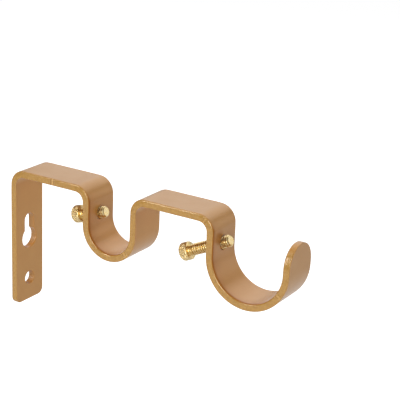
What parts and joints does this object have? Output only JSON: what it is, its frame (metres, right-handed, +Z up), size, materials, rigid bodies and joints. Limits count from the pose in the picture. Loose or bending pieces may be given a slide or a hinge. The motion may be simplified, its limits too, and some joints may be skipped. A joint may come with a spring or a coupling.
{
  "type": "curtain pole bracket",
  "caption": "Curtain pole bracket bent from flat metal strip: wall plate with keyhole, inner pole saddle and outer pole hook, each with a knurled thumb screw.",
  "frame": {"origin": "on the wall side of the plate, at mid width, between the keyhole and the round fixing hole", "axes": "+X away from the wall along the arms, +Y along the wall across the strip, +Z up"},
  "size_m": [0.1605, 0.0212, 0.0745],
  "materials": {
    "gold_finish": "satin gold",
    "screw_brass": "bright"
  },
  "bodies": {
    "strip": {"bracket_strip": "gold_finish"},
    "inner_screw": {"inner_thumb_screw": "screw_brass"},
    "outer_screw": {"outer_thumb_screw": "screw_brass"}
  },
  "joints": [
    {"name": "inner_screw_travel", "type": "slide", "parent": "strip", "child": "inner_screw", "axis": [0.9613, 0, 0.2756], "range_m": [-0.0034, 0.0066]},
    {"name": "outer_screw_travel", "type": "slide", "parent": "strip", "child": "outer_screw", "axis": [0.9063, 0, 0.4226], "range_m": [-0.004, 0.014]}
  ]
}
